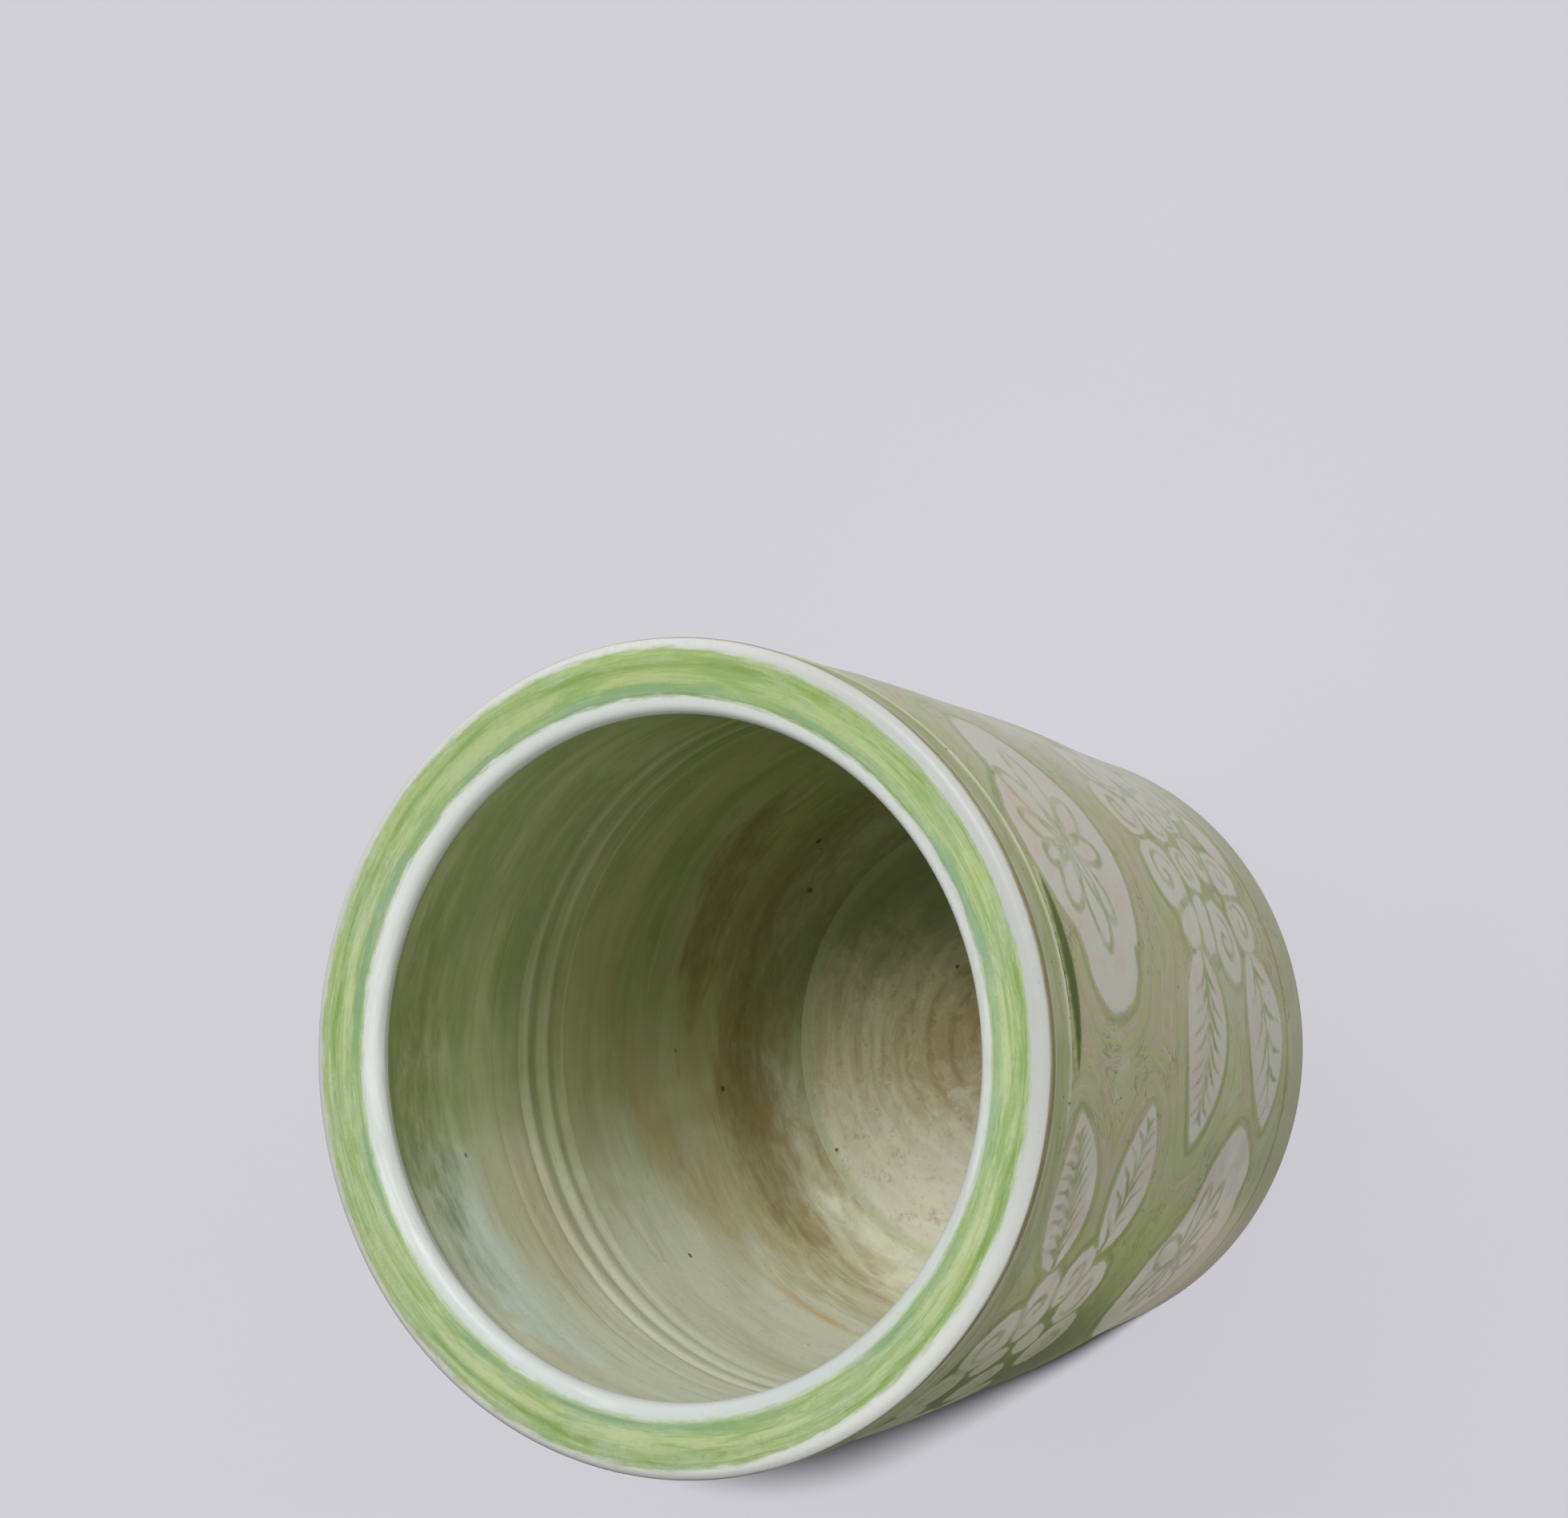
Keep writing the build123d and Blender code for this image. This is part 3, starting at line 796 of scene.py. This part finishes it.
def floor_material():
    """Sandy floor of the inside, with a warm whorl in the middle, painted light in pale patches on the -X side and
    painted shade on the green +X side.
    """
    paint = Paint("floor_glaze", 0.42)
    swirl = paint.noise(paint.join(paint.x, paint.y, paint.times(paint.radius, 0.35)), 0.13, 5.0, 0.65, 1.4)
    rings = paint.streaks(2.2, 0.38, 5.0, 0.65, 0.5, lift=0.0)
    fine = paint.streaks(5.0, 1.1, 4.0, 0.65, lift=0.0)
    colour = paint.mix(paint.band(rings, 0.36, 0.64), (0.50, 0.45, 0.27), (0.66, 0.61, 0.44))
    middle = paint.band(paint.radius, 24.0, 5.0)
    colour = paint.over(colour, middle, paint.band(swirl, 0.38, 0.66, 0.1, 0.8), (0.46, 0.34, 0.18))
    whorl = paint.times(paint.band(paint.radius, 32.0, 12.0), paint.band(swirl, 0.36, 0.56))
    turn = paint.math("SINE", paint.add(paint.times(paint.radius, 1.5), paint.times(swirl, 9.0)))
    colour = paint.over(colour, paint.band(turn, 0.2, 1.0), paint.times(whorl, 0.55), (0.38, 0.26, 0.12))
    # painted light: pale cream patches on the -X side, where the key falls
    painted_light_patches = paint.band(paint.add(paint.x, paint.sway(swirl, 40.0)), 2.0, -24.0)
    mottle = paint.noise(paint.join(paint.x, paint.y, 0.0), 0.3, 6.0, 0.78, 0.1)
    mottled = paint.times(paint.band(mottle, 0.54, 0.68), 0.6)
    colour = paint.over(colour, painted_light_patches, 0.65, (0.74, 0.73, 0.66))
    colour = paint.mix(mottled, colour, (0.42, 0.30, 0.13))
    shaded = paint.band(paint.add(paint.x, paint.sway(swirl, 20.0)), 6.0, 26.0)
    colour = paint.over(colour, shaded, 0.85, (0.20, 0.245, 0.10))
    colour = paint.over(colour, paint.band(paint.radius, 35.8, 37.6), 0.55, (0.42, 0.50, 0.27))
    colour = paint.over(colour, paint.specks(0.16, 0.075, 0.4), 0.85, (0.10, 0.06, 0.02))
    grain = paint.grains(0.9, 4.0, 0.75)
    colour = paint.over(colour, paint.band(grain, 0.54, 0.70), 0.35, (0.36, 0.25, 0.13))
    paint.bump(rings, 0.25, 0.25)
    return paint.finish(colour)


def clay_material():
    paint = Paint("bare_clay", 0.75)
    grain = paint.grains(2.2, 5.0, 0.7)
    cloud = paint.grains(0.12, 3.0, 0.6)
    colour = paint.mix(paint.band(cloud, 0.35, 0.65), (0.55, 0.46, 0.34), (0.66, 0.59, 0.48))
    colour = paint.over(colour, paint.band(grain, 0.55, 0.7), 0.4, (0.36, 0.25, 0.16))
    paint.bump(grain, 0.5, 0.15)
    return paint.finish(colour)


def underside_material():
    paint = Paint("underside_glaze", 0.3)
    cloud = paint.grains(0.07, 3.0, 0.6, 0.6)
    rings = paint.streaks(1.0, 0.4, 3.0, 0.6, lift=0.0)
    colour = paint.mix(paint.band(cloud, 0.35, 0.65), (0.60, 0.62, 0.55), (0.68, 0.69, 0.65))
    colour = paint.over(colour, paint.band(rings, 0.55, 0.7), 0.25, (0.52, 0.50, 0.40))
    colour = paint.over(colour, paint.specks(0.2, 0.09, 0.2), 0.8, BROWN)
    paint.bump(rings, 0.2, 0.2)
    return paint.finish(colour)


# -------------------------------- pieces
WALL_UNEVEN = 0.10
INSIDE_UNEVEN = 0.12
FOOT_LINE = (-0.20, 10.2, 0.7)  # the turned line above the foot: depth, height, half width
TILT = 1.8  # the throwing lines run lower on one side by twice this
# Throwing ridges inside: rise (inwards is less), height, half width
RIDGES = [
    (0.22, 79.3, 0.6), (-0.30, 77.4, 1.2), (0.30, 74.3, 1.1), (-0.26, 71.6, 1.3), (0.12, 69.5, 0.9),
    (-0.14, 67.0, 0.8), (-0.10, 57.0, 1.0), (0.08, 86.5, 0.7),
]
wall_waves = waves(3, 14, 5, 0.12)
inner_waves = waves(8, 14, 4, 0.10)


def bulge(z, rise, at, width):
    return rise * np.exp(-(((z - at) / width) ** 2))


def wall_relief(angle, z):
    """Unevenness of the glazed wall, and the turned line above the foot."""
    return wall_waves(angle, z) * WALL_UNEVEN * np.clip((WALL_TOP - z) / 3, 0, 1) + bulge(z, *FOOT_LINE)


def inside_relief(angle, z):
    """Throwing ridges: a step with two rolls at mid height, and many shallow ones."""
    level = z + TILT * (np.cos(angle - math.radians(100)) - 1)
    strength = 0.3 + 0.7 * np.clip(np.cos(angle - math.radians(112)), 0, 1) ** 1.5
    ridges = sum(bulge(level, *ridge) for ridge in RIDGES) * strength
    ridges += 0.03 * np.sin(level * 0.55 + 1.2 * np.sin(angle)) + 0.012 * np.sin(level * 1.3 + 1.3)
    fade = np.clip((WALL_TOP + 2 - z) / 6, 0, 1) * np.clip((z - 15) / 8, 0, 1)
    return (ridges + inner_waves(angle, z) * INSIDE_UNEVEN) * fade


def floor_ripple(angle, radius):
    return 0.05 * np.sin(radius * 1.1 - angle) * np.clip((FLOOR_RADIUS - radius) / 8, 0, 1)


def skin(name, line, depth, shift=None):
    """Closed coat, depth thick. The line is its shown surface: up the outside or down the inside."""
    step = np.gradient(line, axis=0)
    normal = np.stack([step[:, 1], -step[:, 0]], 1)
    normal /= np.linalg.norm(normal, axis=1)[:, None]
    back = (line - normal * depth)[::-1]
    section = np.vstack([line, back[:: max(1, len(back) // 24)], back[-1:]])
    return turned(name, section, shift, len(line))


def ring_line(points, steps, spacing):
    return even(smooth_curve(points, steps), spacing)


wall_line = np.vstack([[FOOT_EDGE], ring_line(OUTER_WALL, 20, 0.8)])
wall = skin("wall_enamel", wall_line, GLAZE, wall_relief)

collar_line = ring_line(COLLAR[::-1], 10, 0.16)
collar = skin("collar_coat", collar_line, SLIP)

outer_roll = skin("lip_outer_margin", ring_line(OUTER_ROLL[::-1], 10, 0.16), SLIP)
band = skin("lip_band", even(np.array([(58.4, HEIGHT), (52.9, HEIGHT)], float), 0.25), SLIP)
inner_roll = skin("lip_inner_margin", ring_line(INNER_ROLL[::-1], 10, 0.16), SLIP)

cove_steps = np.radians(np.linspace(0, 90, 14))[:-1]
cove = [(COVE_CENTRE[0] + COVE_RADIUS * math.sin(t), COVE_CENTRE[1] - COVE_RADIUS * math.cos(t)) for t in cove_steps]
inside_line = even(np.vstack([cove, smooth_curve(INNER_WALL, 16)]), 0.75)
inside = skin("inside_glaze", inside_line[::-1], GLAZE, inside_relief)

floor_coat = disc("floor_coat", FLOOR_RADIUS, FLOOR_HEIGHT - GLAZE, FLOOR_HEIGHT, floor_ripple)
foot = turned("foot_rim", FOOT_SECTION)

leaf_motifs = [(d, z, leaf(*shape)) for d, z, *shape in LEAVES]
blossom_motifs = [(d, z, blossom(*shape)) for d, z, *shape in BLOSSOMS]
peony_motifs = [(d, z, peony(lobes)) for d, z, lobes in PEONIES]


def both_sides(motifs):
    return motifs + [(d + BACK, z, shape) for d, z, shape in motifs]


leaf_panels = panels("leaf_reserves", both_sides(leaf_motifs))
blossom_panels = panels("blossom_reserves", both_sides(blossom_motifs))
peony_panels = panels("peony_reserves", both_sides(peony_motifs))
pool = panels("glaze_pool", [(*POOL[:2], lens(*POOL[2:]))], step=0.3, rise=0.4, margin=0.9)
panel_edge_on(wall, both_sides(leaf_motifs + blossom_motifs + peony_motifs))

PIECES = [
    (wall, "green_wall_enamel", "green_glaze", wall_material()),
    (collar, "collar_glaze", "green_glaze", collar_material()),
    (outer_roll, "lip_outer_slip", "white_slip", lip_material("lip_outer_slip", 0.35)),
    (band, "lip_green_enamel", "lip_enamel", lip_material("lip_green_enamel", 0.32)),
    (inner_roll, "lip_inner_slip", "white_slip", lip_material("lip_inner_slip", 0.35)),
    (inside, "inner_glaze", "celadon_glaze", inside_material()),
    (floor_coat, "floor_glaze", "celadon_glaze", floor_material()),
    (foot, "foot_ring", "bare_clay", clay_material()),
    (leaf_panels, "leaf_panels", "panel_enamel", panel_material("leaf_panels", 0.7)),
    (blossom_panels, "blossom_panels", "panel_enamel", panel_material("blossom_panels", 0.52)),
    (peony_panels, "peony_panels", "panel_enamel", panel_material("peony_panels", 0.52, 0.2)),
    (pool, "pooled_glaze", "dark_green_glaze", pool_material()),
]
for piece, node, slot, material in PIECES:
    piece.data.materials.append(material)
    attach(piece, "root")
    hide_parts(node)

CAD_LOOKS = {node: clay_material for node in ("pot_wall", "lip_ring", "collar_band", "floor_disc")}
CAD_LOOKS["underside_glaze"] = underside_material
for node, look in CAD_LOOKS.items():
    cad_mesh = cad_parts[node].data
    cad_mesh.materials.clear()
    cad_mesh.materials.append(look())


# -------------------------------- stage, lights and camera
STAGE_SIZE = 6.0
STAGE_GREY = (0.200, 0.198, 0.2135)
BACKDROP = (0.624, 0.617, 0.665)  # what the camera sees beyond the floor
SKY = (0.98, 0.98, 1.0)
SKY_RAMP = {"From Min": -0.55, "From Max": 0.45, "To Min": 0.13, "To Max": 0.85}  # darker towards -X
SUN_ENERGY = 9.05
SUN_DEGREES = 3.6
SUN_ABOVE, SUN_RIGHT = 0.148, -0.078  # where the sun stands from the camera, in the picture's directions


def stage_material():
    paint = Paint("stage_floor", 0.95)
    grain = paint.grains(0.02, 2.0)
    return paint.finish(paint.mix(grain, tuple(c * 0.985 for c in STAGE_GREY), STAGE_GREY))


floor_mesh = bpy.data.meshes.new("stage_floor")
half = STAGE_SIZE / 2
floor_mesh.from_pydata([(-half, -half, 0), (half, -half, 0), (half, half, 0), (-half, half, 0)], [], [(0, 1, 2, 3)])
stage_floor = bpy.data.objects.new("stage_floor", floor_mesh)
bpy.context.scene.collection.objects.link(stage_floor)
floor_mesh.materials.append(stage_material())
stage_floor.visible_glossy = False  # seen at a grazing angle, the glaze would mirror it

world = bpy.data.worlds.new("studio")
bpy.context.scene.world = world
world.use_nodes = True
tree = world.node_tree
sky = tree.nodes["Background"]
sky.inputs["Color"].default_value = (*SKY, 1)
heading_to = tree.nodes.new("ShaderNodeSeparateXYZ")
tree.links.new(tree.nodes.new("ShaderNodeTexCoord").outputs["Generated"], heading_to.inputs[0])
brighter = tree.nodes.new("ShaderNodeMapRange")
brighter.interpolation_type = "SMOOTHSTEP"
for key, value in SKY_RAMP.items():
    brighter.inputs[key].default_value = value
tree.links.new(heading_to.outputs["X"], brighter.inputs["Value"])
tree.links.new(brighter.outputs["Result"], sky.inputs["Strength"])
backdrop = tree.nodes.new("ShaderNodeBackground")
backdrop.inputs["Color"].default_value = (*BACKDROP, 1)
choose = tree.nodes.new("ShaderNodeMixShader")
tree.links.new(tree.nodes.new("ShaderNodeLightPath").outputs["Is Camera Ray"], choose.inputs[0])
tree.links.new(sky.outputs[0], choose.inputs[1])
tree.links.new(backdrop.outputs[0], choose.inputs[2])
tree.links.new(choose.outputs[0], tree.nodes["World Output"].inputs["Surface"])

pot_group = bpy.data.collections.new("pot_receives")
floor_group = bpy.data.collections.new("floor_receives")
floor_group.objects.link(stage_floor)
for piece, *_ in PIECES:
    pot_group.objects.link(piece)
for node in CAD_LOOKS:
    pot_group.objects.link(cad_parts[node])

POT_MIDDLE = Vector((0, 0, HEIGHT / 2 * MM))


def heading(degrees, elevation):
    """Unit vector towards a light: degrees round from the front, and above the floor."""
    a, e = math.radians(degrees - 90), math.radians(elevation)
    return Vector((math.cos(a) * math.cos(e), math.sin(a) * math.cos(e), math.sin(e)))


def softbox(name, degrees, elevation, size, watts):
    """Round lamp for the pot alone, one metre from its middle."""
    data = bpy.data.lights.new(name, "AREA")
    data.shape = "DISK"
    data.size = size
    data.energy = watts
    lamp = bpy.data.objects.new(name, data)
    bpy.context.scene.collection.objects.link(lamp)
    lamp.visible_camera = False
    lamp.location = POT_MIDDLE + heading(degrees, elevation)
    lamp.rotation_euler = (POT_MIDDLE - lamp.location).to_track_quat("-Z", "Y").to_euler()
    lamp.light_linking.receiver_collection = pot_group


softbox("key", 74, 60, 0.40, 7.0)
softbox("fill", -30, 25, 0.60, 2.3)

floor_sun = bpy.data.lights.new("floor_sun", "SUN")
floor_sun.energy = SUN_ENERGY
floor_sun.angle = math.radians(SUN_DEGREES)
floor_lamp = bpy.data.objects.new("floor_sun", floor_sun)
bpy.context.scene.collection.objects.link(floor_lamp)
floor_lamp.light_linking.receiver_collection = floor_group

# The camera looks into the mouth from above the front, rolled so that +X is up in the picture
CAMERA_PLACE = Vector((0.0, -0.3444, 0.7299))
CAMERA_AIM = Vector((0.0458, 0.0083, 0.0696))
CAMERA_ROLL = math.radians(2.2)
LENS_MM = 110.2
camera_data = bpy.data.cameras.new("camera")
camera_data.lens = LENS_MM
camera = bpy.data.objects.new("camera", camera_data)
bpy.context.scene.collection.objects.link(camera)
look = (CAMERA_AIM - CAMERA_PLACE).normalized()
up = (Vector((1, 0, 0)) - look * look.x).normalized()
right = look.cross(up)
up = up * math.cos(CAMERA_ROLL) + right * math.sin(CAMERA_ROLL)
right = look.cross(up)
camera.matrix_world = Matrix.Translation(CAMERA_PLACE) @ Matrix((right, up, -look)).transposed().to_4x4()
bpy.context.scene.camera = camera

# The floor's own light comes from close to the camera, so the shadow hugs the pot's lower right
towards = (-look + up * SUN_ABOVE + right * SUN_RIGHT).normalized()
floor_lamp.rotation_euler = (-towards).to_track_quat("-Z", "Y").to_euler()

bpy.context.scene.view_settings.view_transform = "Standard"
